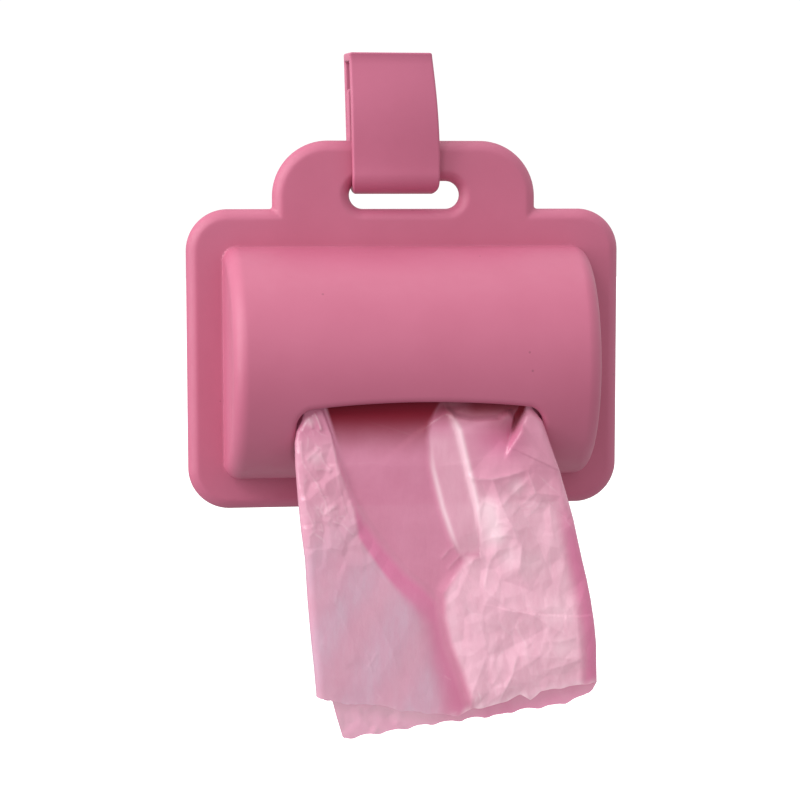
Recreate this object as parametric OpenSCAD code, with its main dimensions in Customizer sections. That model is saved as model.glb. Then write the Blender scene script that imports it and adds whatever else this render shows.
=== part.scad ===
// Silicone dispenser for a roll of bags: a plate with a half barrel on its front, hung from a strap.
// Front faces -Y, +Z is up as it hangs, x = 0 and y = 0 are the middle of the plate.
// z = 0 is the inside of the strap's top fold, straight above the middle of the plate.

/* [Plate] */
// Width of the plate
plate_w = 86; // [80:1:96]
// Height of the plate below the tab
plate_h = 59; // [57:0.2:66]
// Thickness of the plate, and the diameter of its rounded edge
plate_t = 4; // [3.6:0.1:4.4]
// Corner radius of the plate
plate_r = 8.2; // [5:0.1:10]
// Width of the raised tab at the top
tab_w = 52.2; // [46:0.2:60]
// Height of the tab above the plate
tab_h = 13.4; // [12.6:0.1:16]
// Corner radius of the tab
tab_r = 10.2; // [6:0.1:11]
// Clear width of the hanging slot
slot_w = 21.8; // [20:0.1:26]
// Clear height of the hanging slot
slot_h = 5.4; // [5:0.1:6]

/* [Barrel] */
// Outer length of the half barrel
barrel_w = 71.8; // [68:0.2:74]
// Outer radius of the half barrel
barrel_r = 22.6; // [22:0.1:24]
// Straight flank between the plate's face and the round of the barrel
barrel_flank = 0.5; // [0.5:0.1:3]
// How far the barrel's axis lies below the middle of the plate
barrel_drop = 0.5; // [0:0.1:1.5]
// Draft of the mould: how far each end of the barrel leans in towards its front
barrel_draft = 1.1; // [0:0.1:1.6]
// Rounding along the ends of the barrel
barrel_round = 2.8; // [2.2:0.1:4]
// Wall of the moulded shell
wall = 2; // [1.8:0.1:2.2]

/* [Mouth] */
// Width of the mouth that the bags come out of
mouth_w = 46.8; // [44:0.2:52]
// Crown of the upper lip, below the barrel's axis
lip_z = 6.2; // [6:0.1:9]
// How much lower the upper lip is at its ends
lip_sag = 1.45; // [1:0.05:2]
// Lower lip, below the barrel's axis
sill_z = 18.6; // [18:0.1:19]
// Corner radius of the mouth
mouth_r = 3; // [2:0.1:4]

/* [Back] */
// Thickness of the back panel and of its refill flap
back_t = 1.4; // [1.2:0.1:1.6]
// Width of the refill window
window_w = 72; // [70:0.5:76]
// Top of the window, above the barrel's axis
window_top = 26; // [25.6:0.1:26.4]
// Bottom of the window, below the barrel's axis
window_bottom = 24; // [22:0.5:26]
// Distance of each closing peg from the middle
peg_x = 26; // [20:1:30]
// Radius of a closing peg
peg_r = 1.5; // [1.2:0.1:1.6]

/* [Strap] */
// Thickness of the strap
strap_t = 1.8; // [1.6:0.1:1.9]
// Left edge of the strap, near the left end of the slot
strap_left = -10.3; // [-10.4:0.1:-9]
// Right edge of the strap in the slot
strap_right = 6.5; // [5:0.1:7.2]
// Left edge of the strap at its top fold
strap_left_top = -11.1; // [-11.4:0.1:-9]
// Right edge of the strap at its top fold
strap_right_top = 4.8; // [4.5:0.1:7]
// Height of the strap's loop above the tab
loop_h = 15.4; // [15:0.1:18]
// Clear depth of the loop under the top fold, front to back
loop_d = 8; // [7.8:0.1:8.2]
// Inner radius of the top fold's two corners
fold_r = 1.6; // [1:0.1:3.6]
// Height of the top fold, down to the line where the loose end turns
fold_h = 3.6; // [3.4:0.1:4.4]
// Length of the loose end below the top fold
end_l = 13.4; // [12.5:0.1:16]

/* [Roll and bag] */
// Radius of the part-used roll
roll_r = 9.8; // [9:0.1:10]
// Length of the roll
roll_w = 60; // [56:1:62]
// Outer radius of the card core
core_r = 6.5; // [6:0.1:7]
// Thickness of the hanging bag, its two plies together
bag_t = 3.1; // [2.6:0.1:3.2]

/* [Hidden] */
$fn = 96;
eps = 0.01;

rim_r = plate_t / 2;
plate_top = -loop_h - tab_h;
plate_z = plate_top - plate_h / 2;
axis_y = -plate_t / 2 - barrel_flank;
axis_z = plate_z - barrel_drop;
split_y = plate_t / 2 - back_t;
slot_z = plate_top + slot_h / 2;
slot_top = plate_top + slot_h;
cavity_r = barrel_r - wall;
cavity_w = barrel_w - 2 * wall;
cavity_round = 1.2;

// Peg holes are blind and a little wider and deeper than the pegs.
peg_clear = 0.1;
peg_l = 1.6;
peg_inset = 2.6;
peg_z = window_top - peg_inset;
flap_gap = 0.2;
flap_seat = 0.05;
window_r = 3;

// The strap's strands, from the front: front strand, inner back strand, loose end.
strand_gap = 0.2;
front_y = -plate_t / 2 - strand_gap - strap_t;
bight_r = plate_t / 2 + strand_gap;
bight_gap = 0.55;
bight_z = slot_top + bight_r - bight_gap;
fold_y = front_y + strap_t + loop_d / 2;
fold_z = -fold_h;
inner_drop = 1.6;
inner_end_z = fold_z - inner_drop;
end_y = fold_y + loop_d / 2;
hinge_gap = 0.15;
strap_corner = bight_r + strap_t;
taper_z = -15;

// The loose end hangs straight, as wide as the strap is where it turns. The press stud is in its middle.
end_left = strap_left_top + 0.2;
end_right = strap_right_top + 0.6;
snap_x = (end_left + end_right) / 2;
snap_drop = 5.1;
snap_z = inner_end_z - snap_drop;
rivet_r = 1;
rivet_clear = 0.05;
cap_r = 4.8;
flange_r = 4;

// The roll rests on the barrel wall, and its film goes straight down behind the upper lip.
film_y = -20.75;
film_t = 0.4;
film_gap = 0.25;
roll_y = film_y + film_gap + roll_r;
roll_seat = 0.3;
roll_z = -sqrt(pow(cavity_r - roll_seat - roll_r, 2) - pow(roll_y - axis_y, 2));

// Solid of a flat outline drawn in X and Z, from y0 back to y1.
module along_y(y0, y1) {
  translate([0, y1, 0])
    rotate([90, 0, 0])
      linear_extrude(y1 - y0)
        children();
}

// Solid of a flat outline drawn in Y and Z, from x0 to x1.
module along_x(x0, x1) {
  translate([x0, 0, 0])
    rotate([90, 0, 90])
      linear_extrude(x1 - x0)
        children();
}

// Half turn about an axis along X, on the front side. The outline is drawn as radius and length.
module front_half_turn() {
  rotate([0, 90, 0])
    rotate([0, 0, 180])
      rotate_extrude(angle = 180)
        children();
}

// Full turn about an axis along X.
module turn_x() {
  rotate([0, 90, 0])
    rotate_extrude()
      children();
}

// Full turn about an axis along Y. The outline's height runs along +Y.
module turn_y() {
  rotate([-90, 0, 0])
    rotate_extrude()
      children();
}

module rounded(w, h, r) {
  square([w - 2 * r, h], center = true);
  square([w, h - 2 * r], center = true);
  for (sx = [-1, 1], sy = [-1, 1])
    translate([sx * (w / 2 - r), sy * (h / 2 - r)])
      circle(r);
}

module stadium(w, h) {
  square([w - h, h], center = true);
  for (s = [-1, 1])
    translate([s * (w - h) / 2, 0])
      circle(h / 2);
}

// Half of the plate's rounded edge in section, with its flat side on the line x = 0.
module rim_section() {
  intersection() {
    circle(rim_r);
    translate([0, -rim_r])
      square([rim_r, plate_t]);
  }
}

// A straight stretch of rounded edge from a to b, bulging to the left of that direction.
module rim_line(a, b) {
  d = b - a;
  translate([a[0], 0, a[1]])
    rotate([0, -atan2(d[1], d[0]), 0])
      rotate([90, 0, 90])
        linear_extrude(norm(d))
          rotate(90)
            rim_section();
}

// A quarter of rounded edge round a convex corner. Quadrant 0 is right and up, 1 is left and up.
module rim_corner(c, r, quadrant) {
  translate([c[0], 0, c[1]])
    rotate([90, 0, 0])
      rotate([0, 0, 90 * quadrant])
        rotate_extrude(angle = 90)
          translate([r - rim_r, 0])
            rim_section();
}

// The flat of the plate and tab, inside the rounded edge.
module flat_outline() {
  translate([0, plate_z])
    rounded(plate_w - plate_t, plate_h - plate_t, plate_r - rim_r);
  intersection() {
    translate([0, plate_top + tab_h - rim_r - plate_h / 2])
      rounded(tab_w - plate_t, plate_h, tab_r - rim_r);
    translate([-plate_w, plate_z])
      square([2 * plate_w, plate_h]);
  }
}

// Rounded edge all round the plate and the tab, mirrored from its right half.
module edge_rim() {
  bottom = plate_z - plate_h / 2 + rim_r;
  top = plate_top - rim_r;
  side = plate_w / 2 - rim_r;
  tab_side = tab_w / 2 - rim_r;
  tab_top = plate_top + tab_h - rim_r;
  corner = plate_r - rim_r;
  tab_corner = tab_r - rim_r;
  for (side_sign = [0, 1])
    mirror([side_sign, 0, 0]) {
      rim_line([side - corner, bottom], [0, bottom]);
      rim_line([side, top - corner], [side, bottom + corner]);
      rim_line([tab_side, top], [side - corner, top]);
      rim_line([tab_side, tab_top - tab_corner], [tab_side, top]);
      rim_line([0, tab_top], [tab_side - tab_corner, tab_top]);
      rim_corner([side - corner, bottom + corner], plate_r, 3);
      rim_corner([side - corner, top - corner], plate_r, 0);
      rim_corner([tab_side - tab_corner, tab_top - tab_corner], tab_r, 0);
    }
}

// Rounded edge round the inside of the hanging slot.
module slot_rim() {
  half = slot_w / 2 - slot_h / 2;
  reach = slot_h / 2 + rim_r;
  for (end_sign = [0, 1])
    mirror([end_sign, 0, 0])
      translate([half, 0, slot_z])
        rotate([90, 0, 0])
          rotate([0, 0, -90])
            rotate_extrude(angle = 180)
              translate([reach, 0])
                rotate(180)
                  rim_section();
  rim_line([half, slot_z + reach], [-half, slot_z + reach]);
  rim_line([-half, slot_z - reach], [half, slot_z - reach]);
}

// Plate and tab with the slot through the tab, full thickness.
module plate_blank() {
  difference() {
    along_y(-rim_r, rim_r)
      flat_outline();
    translate([0, 0, slot_z])
      along_y(-plate_t, plate_t)
        stadium(slot_w + plate_t, slot_h + plate_t);
  }
  edge_rim();
  slot_rim();
}

// Everything within a plate's thickness behind y0, to part the two mouldings where they meet.
module slab(y0) {
  translate([-plate_w, y0, plate_z - plate_h])
    cube([2 * plate_w, plate_t, 2 * plate_h]);
}

// Half barrel as a solid: radius, length and end rounding, from the round's axis back to y_back.
// Both its ends lean in towards the front by the mould's draft.
module barrel_solid(r, w, corner, y_back) {
  lean = barrel_draft / (barrel_r + barrel_flank);
  front = axis_y - barrel_r - 1;
  back = y_back + 1;
  front_half = w / 2 + lean * (front + rim_r);
  back_half = w / 2 + lean * (back + rim_r);
  intersection() {
    union() {
      translate([0, axis_y, axis_z])
        front_half_turn()
          intersection() {
            rounded(2 * r, w, corner);
            translate([0, -w])
              square([r + 1, 2 * w]);
          }
      translate([0, 0, axis_z])
        along_y(axis_y, y_back)
          rounded(w, 2 * r, corner);
    }
    translate([0, 0, axis_z - barrel_r - 1])
      linear_extrude(2 * barrel_r + 2)
        polygon([
          [front_half, front],
          [back_half, back],
          [-back_half, back],
          [-front_half, front]
        ]);
  }
}

// Outline of the mouth about the barrel's axis: a shallow arch above a flat sill.
module mouth_outline() {
  half = mouth_w / 2;
  arch_r = (pow(half, 2) + pow(lip_sag, 2)) / (2 * lip_sag);
  arch_z = -lip_z - arch_r;
  inset = half - mouth_r;
  corner_z = arch_z + sqrt(pow(arch_r - mouth_r, 2) - pow(inset, 2));
  touch = inset * arch_r / (arch_r - mouth_r);
  intersection() {
    translate([0, arch_z])
      circle(arch_r, $fn = 720);
    translate([-touch, -sill_z])
      square([2 * touch, sill_z]);
  }
  translate([-half, -sill_z + mouth_r])
    square([mouth_w, corner_z + sill_z - mouth_r]);
  for (s = [-1, 1]) {
    translate([s * inset, corner_z])
      circle(mouth_r);
    translate([s * inset, -sill_z + mouth_r])
      circle(mouth_r);
  }
}

module front_shell() {
  cut_back = 5;
  color([0.76, 0.40, 0.52])
    difference() {
      union() {
        intersection() {
          plate_blank();
          slab(split_y - plate_t);
        }
        barrel_solid(barrel_r, barrel_w, barrel_round, 0);
      }
      barrel_solid(cavity_r, cavity_w, cavity_round, split_y + 1);
      translate([0, 0, axis_z])
        along_y(axis_y - barrel_r - 1, axis_y - cut_back)
          mouth_outline();
      for (s = [-1, 1])
        translate([s * peg_x, split_y + eps, axis_z + peg_z])
          rotate([90, 0, 0])
            cylinder(h = peg_l + 0.2, r = peg_r + peg_clear);
    }
}

// Outline of the window in the back panel, or of the flap that fills it, drawn in by a margin.
module window_outline(margin) {
  h = window_top + window_bottom;
  translate([0, (window_top - window_bottom) / 2])
    rounded(window_w - 2 * margin, h - 2 * margin, window_r);
}

// Back panel with its window, and a shallow notch at the window's top for a fingertip.
module rear_panel() {
  notch_r = 8;
  notch_depth = 1.8;
  color([0.74, 0.38, 0.50])
    difference() {
      intersection() {
        plate_blank();
        slab(split_y);
      }
      translate([0, 0, axis_z])
        along_y(split_y - 1, plate_t) {
          window_outline(0);
          translate([0, window_top + notch_depth - notch_r])
            circle(notch_r);
        }
    }
}

module refill_flap() {
  color([0.78, 0.43, 0.55]) {
    translate([0, 0, axis_z])
      along_y(split_y + flap_seat, plate_t / 2)
        window_outline(flap_gap);
    for (s = [-1, 1])
      translate([s * peg_x, split_y + flap_seat + eps, axis_z + peg_z])
        rotate([90, 0, 0])
          cylinder(h = peg_l, r = peg_r);
  }
}

// Section of the strap from the end of its inner back strand, through the slot, to the top fold.
module strap_path() {
  clear = 2 * strap_corner;
  translate([-bight_r - strap_t, bight_z])
    square([strap_t, fold_z - bight_z]);
  translate([bight_r, bight_z])
    square([strap_t, inner_end_z - bight_z]);
  difference() {
    translate([0, bight_z])
      circle(bight_r + strap_t);
    translate([0, bight_z])
      circle(bight_r);
    translate([-clear / 2, bight_z])
      square(clear);
  }
  translate([fold_y, fold_z])
    difference() {
      rounded(loop_d + 2 * strap_t, 2 * (fold_h + strap_t), fold_r + strap_t);
      rounded(loop_d, 2 * fold_h, fold_r);
      translate([-loop_d, -2 * loop_d])
        square(2 * loop_d);
    }
}

// Front view of the strap: it leans left and gets a little narrower towards its top fold.
module strap_front() {
  bottom = bight_z;
  top = strap_t + 1;
  polygon([
    [strap_left, bottom],
    [strap_right, bottom],
    [strap_right, taper_z],
    [strap_right_top, top],
    [strap_left_top, top]
  ]);
  for (x = [strap_left + strap_corner, strap_right - strap_corner])
    translate([x, bottom])
      circle(strap_corner);
  translate([strap_left + strap_corner, bottom - strap_corner])
    square([strap_right - strap_left - 2 * strap_corner, strap_corner + eps]);
}

// Places a part of the press stud on its axis, with y measured from the given face.
module at_snap(y) {
  translate([snap_x, y, snap_z])
    turn_y()
      children();
}

// Hole for the press stud's post or rivet, from y0 back to y1.
module rivet_hole(y0, y1) {
  at_snap(y0)
    square([rivet_r + rivet_clear, y1 - y0]);
}

module strap_band() {
  color([0.77, 0.43, 0.55])
    difference() {
      intersection() {
        along_x(strap_left_top - 1, strap_right + 1)
          strap_path();
        along_y(front_y - 1, end_y + strap_t + 1)
          strap_front();
      }
      rivet_hole(bight_r - 1, bight_r + strap_t + 1);
    }
}

module strap_end() {
  top = fold_z - hinge_gap;
  bottom = fold_z - end_l;
  tip_r = 5;
  color([0.77, 0.43, 0.55])
    difference() {
      along_y(end_y, end_y + strap_t) {
        translate([end_left, bottom + tip_r])
          square([end_right - end_left, top - bottom - tip_r]);
        translate([end_left + tip_r, bottom])
          square([end_right - end_left - 2 * tip_r, tip_r + eps]);
        for (x = [end_left + tip_r, end_right - tip_r])
          translate([x, bottom + tip_r])
            circle(tip_r);
      }
      rivet_hole(end_y - 1, end_y + strap_t + 1);
    }
}

// Domed cap on the outside, with the rivet that goes through the strap into the socket.
module snap_cap() {
  dome_h = 1.3;
  dome_r = (pow(cap_r, 2) + pow(dome_h, 2)) / (2 * dome_h);
  face = end_y + strap_t;
  color([0.80, 0.80, 0.82])
    at_snap(face) {
      intersection() {
        translate([0, dome_h - dome_r])
          circle(dome_r);
        square([cap_r, dome_h]);
      }
      translate([0, -strap_t - 0.5])
        square([rivet_r, strap_t + 0.5 + eps]);
    }
}

// Socket ring on the inside of the loose end, open towards the stud.
module snap_socket() {
  socket_t = 1.3;
  web_t = 0.6;
  recess_r = 1.95;
  color([0.76, 0.76, 0.78])
    at_snap(end_y - socket_t)
      difference() {
        square([flange_r, socket_t]);
        translate([0, -eps])
          square([recess_r, socket_t - web_t + eps]);
        square([rivet_r + rivet_clear, socket_t + eps]);
      }
}

// Stud on the inner strand, hollow for the post.
module snap_stud() {
  base_t = 0.35;
  head_r = 1.5;
  head_t = 0.7;
  color([0.76, 0.76, 0.78])
    at_snap(bight_r + strap_t)
      difference() {
        union() {
          square([flange_r - 0.2, base_t]);
          square([head_r, base_t + head_t]);
        }
        translate([0, -eps])
          square([rivet_r + rivet_clear, base_t + head_t - 0.3 + eps]);
      }
}

// Post and its flange on the front of the inner strand.
module snap_post() {
  flange_t = 0.7;
  color([0.80, 0.80, 0.82])
    at_snap(bight_r - flange_t) {
      square([flange_r - 0.6, flange_t]);
      translate([0, 0.3])
        square([flange_r, flange_t - 0.3]);
      square([rivet_r, flange_t + strap_t + 0.6]);
    }
}

// Tube with its axis along X at the roll's place.
module roll_tube(r_in, r_out, w) {
  translate([0, roll_y, axis_z + roll_z])
    turn_x()
      translate([r_in, -w / 2])
        square([r_out - r_in, w]);
}

module roll_core() {
  card_t = 0.9;
  color([0.72, 0.60, 0.46])
    roll_tube(core_r - card_t, core_r, roll_w);
}

module roll_film() {
  color([0.88, 0.55, 0.68])
    roll_tube(core_r + 0.05, roll_r, roll_w - 0.6);
}

// Hanging bag: a flat neck behind the upper lip, then a front ply and a longer back ply.
module leading_bag() {
  neck_w = 43;
  ply_y = film_y - bag_t;
  ply_t = bag_t / 2;
  top = -9.4;
  left = [[-22.4, top], [-23.1, -24.3], [-21.6, -39], [-19.9, -61.6]];
  right = [[34.5, -60.8], [34.3, -53], [32.3, -40.5], [27.1, -19.8], [23, -13.6], [22.4, top]];
  front_hem = [[7.6, -66.2], [19.2, -62.5]];
  back_hem = [[-16.5, -63], [-14.5, -70.5], [9.5, -67.7], [28.3, -65.3]];
  color([0.90, 0.60, 0.72])
    translate([0, 0, axis_z]) {
      along_y(film_y - film_t, film_y)
        translate([-neck_w / 2, -20])
          square([neck_w, 17]);
      along_y(ply_y, ply_y + ply_t)
        polygon(concat(left, front_hem, right));
      along_y(ply_y + ply_t, film_y)
        polygon(concat(left, back_hem, right));
    }
}

front_shell();
rear_panel();
refill_flap();
strap_band();
strap_end();
snap_cap();
snap_socket();
snap_stud();
snap_post();
roll_core();
roll_film();
leading_bag();
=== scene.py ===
import math

import bpy
import numpy as np
import openvdb
from mathutils import Matrix, Vector
from mathutils.geometry import delaunay_2d_cdt


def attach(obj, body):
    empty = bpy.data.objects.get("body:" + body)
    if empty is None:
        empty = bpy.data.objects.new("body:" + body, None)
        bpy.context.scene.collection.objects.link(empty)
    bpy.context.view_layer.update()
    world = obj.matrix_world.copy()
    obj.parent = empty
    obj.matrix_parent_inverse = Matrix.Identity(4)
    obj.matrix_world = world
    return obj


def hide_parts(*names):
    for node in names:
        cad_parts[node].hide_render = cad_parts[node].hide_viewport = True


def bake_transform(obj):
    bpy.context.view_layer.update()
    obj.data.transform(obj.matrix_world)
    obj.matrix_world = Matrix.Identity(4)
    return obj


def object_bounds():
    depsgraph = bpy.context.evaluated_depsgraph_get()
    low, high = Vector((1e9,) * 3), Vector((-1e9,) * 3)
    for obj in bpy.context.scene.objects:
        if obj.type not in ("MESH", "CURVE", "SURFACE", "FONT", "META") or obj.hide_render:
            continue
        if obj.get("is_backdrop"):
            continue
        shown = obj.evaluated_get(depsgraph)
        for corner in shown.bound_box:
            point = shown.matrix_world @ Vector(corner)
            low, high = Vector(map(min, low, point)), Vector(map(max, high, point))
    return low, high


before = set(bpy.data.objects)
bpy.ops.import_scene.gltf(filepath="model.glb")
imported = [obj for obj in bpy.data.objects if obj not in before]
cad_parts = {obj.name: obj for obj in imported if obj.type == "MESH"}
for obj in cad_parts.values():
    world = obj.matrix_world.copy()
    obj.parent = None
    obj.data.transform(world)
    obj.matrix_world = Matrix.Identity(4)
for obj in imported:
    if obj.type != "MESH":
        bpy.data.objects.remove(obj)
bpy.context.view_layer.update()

# Camera. It stands left of the middle, level with the hanging slot, and looks a little right and down.
# Its place, turn and lens were fitted to the corners of the plate, pocket, tab and slot.
mm = 0.001
picture_side = 800
sensor_width = 36
focal_pixels = 2044.54
camera_at = np.array([-52.36, -402.0, -27.84])
yaw, tip, roll = (math.radians(a) for a in (7.302, 5.481, -0.080))


def turning(i, j, angle):
    """A turn by angle, from axis i to axis j."""
    made = np.eye(3)
    made[i, i] = made[j, j] = math.cos(angle)
    made[i, j], made[j, i] = -math.sin(angle), math.sin(angle)
    return made


level = np.array([[1, 0, 0], [0, 0, -1], [0, 1, 0]])
eye = turning(0, 1, roll) @ turning(1, 2, tip) @ level @ turning(0, 1, yaw)


def placed(name, data):
    made = bpy.data.objects.new(name, data)
    bpy.context.scene.collection.objects.link(made)
    return made


camera = placed("camera", bpy.data.cameras.new("camera"))
camera.data.sensor_width = sensor_width
camera.data.lens = sensor_width * focal_pixels / picture_side
camera.matrix_world = (
    Matrix.Translation(Vector(camera_at * mm)) @ Matrix((eye[0], -eye[1], -eye[2])).transposed().to_4x4()
)
bpy.context.scene.camera = camera


# Front shell. The real one is a single moulding of soft silicone: a plate with a fully rounded edge, a
# tab with the hanging slot, and a half barrel that holds the roll. It is meshed here from the distance
# to its surface, in millimetres and negative inside, so that every lip and edge is softly rounded.
plate_w, plate_h, plate_r = 86, 59, 8.2
plate_z = -58.3
rim_r, rim_arc, rim_soft = 2, 3, 0.1
tab_w, tab_top, tab_r, tab_fillet = 52.2, -15.45, 11, 0.6
slot_w, slot_h, slot_z = 21.8, 5.4, -26.1
axis_y, axis_z = -2.5, -58.8
barrel_w, barrel_r, barrel_round, draft = 71.8, 22.6, 2.8, 0.0476
cavity_w, cavity_r, cavity_round = 67.8, 20.6, 1.2
mouth_x, mouth_w, lip_z, lip_sag, sill_z, mouth_r, mouth_back = 0.3, 46.8, 6.2, 1.45, 18.6, 3, 5
split_y = 0.6
peg_x, peg_z, peg_r, peg_play, peg_hole = 26, 23.4, 1.5, 0.1, 1.8
base_fillet, inner_fillet, lip_round, hole_round, seam_round = 0.2, 0.6, 1.3, 0.3, 0.35


def soft_min(a, b, k):
    near = np.maximum(k - np.abs(a - b), 0) / k
    return np.minimum(a, b) - near * near * k / 4


def soft_max(a, b, k):
    return -soft_min(-a, -b, k)


def corner(a, b, r):
    """Inside both a and b, with the edge where they meet rounded to r."""
    outside = np.hypot(np.maximum(a + r, 0), np.maximum(b + r, 0))
    return outside + np.minimum(np.maximum(a + r, b + r), 0) - r


def plate(x, y, z):
    tab_half = plate_h / 2
    sheet = corner(np.abs(x) - plate_w / 2, np.abs(z - plate_z) - plate_h / 2, plate_r)
    tab = corner(np.abs(x) - tab_w / 2, np.abs(z - tab_top + tab_half) - tab_half, tab_r)
    slot = corner(np.abs(x) - slot_w / 2, np.abs(z - slot_z) - slot_h / 2, slot_h / 2)
    outline = np.maximum(soft_min(sheet, tab, tab_fillet), -slot)
    slant = math.sqrt(rim_arc**2 - rim_r**2 / 2) / math.sqrt(2)
    deep, back = rim_r / 2 + slant, slant - rim_r / 2
    edge = np.hypot(np.maximum(outline + deep, 0), np.abs(y) + back) - rim_arc
    return soft_max(edge, np.abs(y) - rim_r, rim_soft)


def barrel(x, y, z, w, r, end_round):
    half = w / 2 + draft * (y + rim_r)
    return corner(np.hypot(np.minimum(y - axis_y, 0), z - axis_z) - r, np.abs(x) - half, end_round)


def mouth(x, y, z):
    sag = lip_sag * ((x - mouth_x) / (mouth_w / 2)) ** 2
    top = z - axis_z + lip_z + sag
    bottom = -sill_z - (z - axis_z)
    outline = corner(np.abs(x - mouth_x) - mouth_w / 2, np.maximum(top, bottom), mouth_r)
    return np.maximum(outline, y - (axis_y - mouth_back))


def shell_field(x, y, z):
    solid = soft_min(plate(x, y, z), barrel(x, y, z, barrel_w, barrel_r, barrel_round), base_fillet)
    solid = soft_max(solid, -barrel(x, y, z, cavity_w, cavity_r, cavity_round), inner_fillet)
    solid = soft_max(solid, -mouth(x, y, z), lip_round)
    hole = np.hypot(np.abs(x) - peg_x, z - axis_z - peg_z) - peg_r - peg_play
    solid = soft_max(solid, -np.maximum(hole, split_y - peg_hole - y), hole_round)
    return soft_max(solid, y - split_y, seam_round)


def new_piece(name, points, faces, finish, body=None, sharp=None):
    """A piece from points in millimetres and lists of corners, with its finish, riding on a body."""
    mesh = bpy.data.meshes.new(name)
    mesh.from_pydata((np.asarray(points) * mm).tolist(), [], faces)
    mesh.validate()
    mesh.polygons.foreach_set("use_smooth", [True] * len(mesh.polygons))
    if sharp is not None:
        mesh.set_sharp_from_angle(angle=math.radians(sharp))
    mesh.materials.append(finish)
    piece = placed(name, mesh)
    if body:
        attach(piece, body)
    return piece


def moulded(name, field, low, high, pitch, finish, body):
    """A closed mesh of field's surface: a voxel mesh whose points are then drawn onto the surface."""
    low, pitch = np.array(low, float), np.array(pitch, float)
    axes = [np.arange(a, b + p, p) for a, b, p in zip(low, high, pitch)]
    grid = openvdb.FloatGrid()
    grid.copyFromArray(field(*np.meshgrid(*axes, indexing="ij")).astype(np.float32))
    points, _, quads = grid.convertToPolygons(isovalue=0.0, adaptivity=0.0)
    points = low + points * pitch
    step, flattest, furthest = 0.02, 0.25, 0.15
    for _ in range(4):
        slope = np.empty_like(points)
        for i in range(3):
            shift = np.zeros(3)
            shift[i] = step
            ahead, behind = field(*(points + shift).T), field(*(points - shift).T)
            slope[:, i] = (ahead - behind) / (2 * step)
        away = field(*points.T) / np.maximum((slope**2).sum(1), flattest)
        points -= np.clip(away, -furthest, furthest)[:, None] * slope
    a, b, c = (points[quads[:, i]] for i in (0, 1, 2))
    inward = (np.cross(b - a, c - a) * slope[quads[:, 0]]).sum() < 0
    faces = (quads[:, ::-1] if inward else quads).tolist()
    piece = new_piece(name, points, faces, finish, body)
    slope /= np.maximum(np.linalg.norm(slope, axis=1, keepdims=True), 1e-9)
    piece.data.normals_split_custom_set_from_vertices(slope.tolist())
    return piece


class Flow:
    """A shader socket. Sums and products of it add their Math nodes."""

    def __init__(self, finish, socket):
        self.finish = finish
        self.socket = socket

    def maths(self, operation, first, second):
        return self.finish.node("ShaderNodeMath", {"operation": operation}, {0: first, 1: second})

    def __add__(self, other):
        return self.maths("ADD", self, other)

    def __mul__(self, other):
        return self.maths("MULTIPLY", self, other)

    __radd__ = __add__
    __rmul__ = __mul__


class Finish:
    """A procedural material with one Principled surface, and the nodes that vary it."""

    def __init__(self, name, **constants):
        self.material = bpy.data.materials.new(name)
        self.material.use_nodes = True
        self.tree = self.material.node_tree
        self.surface = self.tree.nodes["Principled BSDF"]
        for socket, value in constants.items():
            self.surface.inputs[socket.replace("_", " ")].default_value = value

    def node(self, kind, settings, sockets, output=0):
        made = self.tree.nodes.new(kind)
        for setting, value in settings.items():
            if setting == "stops":
                while len(made.color_ramp.elements) < len(value):
                    made.color_ramp.elements.new(0.5)
                for stop, (place, colour) in zip(made.color_ramp.elements, value):
                    stop.position = place
                    stop.color = colour
            else:
                setattr(made, setting, value)
        for socket, value in sockets.items():
            if isinstance(value, Flow):
                self.tree.links.new(value.socket, made.inputs[socket])
            else:
                made.inputs[socket].default_value = value
        return Flow(self, made.outputs[output])

    def place(self):
        return self.node("ShaderNodeTexCoord", {}, {}, "Object")

    def stretched(self, scale, turn=(0, 0, 0)):
        sockets = {"Vector": self.place(), "Scale": scale, "Rotation": turn}
        return self.node("ShaderNodeMapping", {}, sockets)

    def noise(self, scale, detail=2.0, roughness=0.5, at=None):
        sockets = {"Vector": at or self.place(), "Scale": scale, "Detail": detail, "Roughness": roughness}
        return self.node("ShaderNodeTexNoise", {}, sockets)

    def ramp(self, value, *stops):
        grey = [(place, (level, level, level, 1)) for place, level in stops]
        return self.node("ShaderNodeValToRGB", {"stops": grey}, {"Fac": value})

    def mix(self, share, first, second):
        return self.node("ShaderNodeMix", {"data_type": "RGBA"}, {0: share, 6: first, 7: second}, 2)

    def vary(self, **flows):
        for socket, flow in flows.items():
            self.tree.links.new(flow.socket, self.surface.inputs[socket.replace("_", " ")])

    def bump(self, height, distance):
        sockets = {"Height": height, "Distance": distance, "Strength": 1.0}
        self.vary(Normal=self.node("ShaderNodeBump", {}, sockets))


def silicone(name, deep, pale, roughness=0.5):
    """Matt silicone: a slight cloudiness, the faint grain of the mould, and a few specks of dust."""
    made = Finish(name, Specular_IOR_Level=0.75, IOR=1.42)
    cloud = made.ramp(made.noise(60, 3), (0.3, 0.0), (0.7, 1.0))
    colour = made.mix(cloud, deep, pale)
    cells = {"Vector": made.place(), "Scale": 210.0}
    speck = made.ramp(made.node("ShaderNodeTexVoronoi", {}, cells), (0.035, 1.0), (0.055, 0.0))
    chosen = made.ramp(made.noise(130, 0), (0.6, 0.0), (0.63, 1.0))
    dust = speck * chosen
    made.vary(Base_Color=made.mix(dust * 0.5, colour, (0.24, 0.06, 0.10, 1)))
    grain = made.noise(4200, 2)
    soft = made.noise(420, 3)
    made.vary(Roughness=made.ramp(soft, (0.3, roughness - 0.04), (0.7, roughness + 0.04)))
    made.bump(grain * 0.35 + soft * 0.5 + dust * 0.6, 0.00004)
    return made.material


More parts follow.
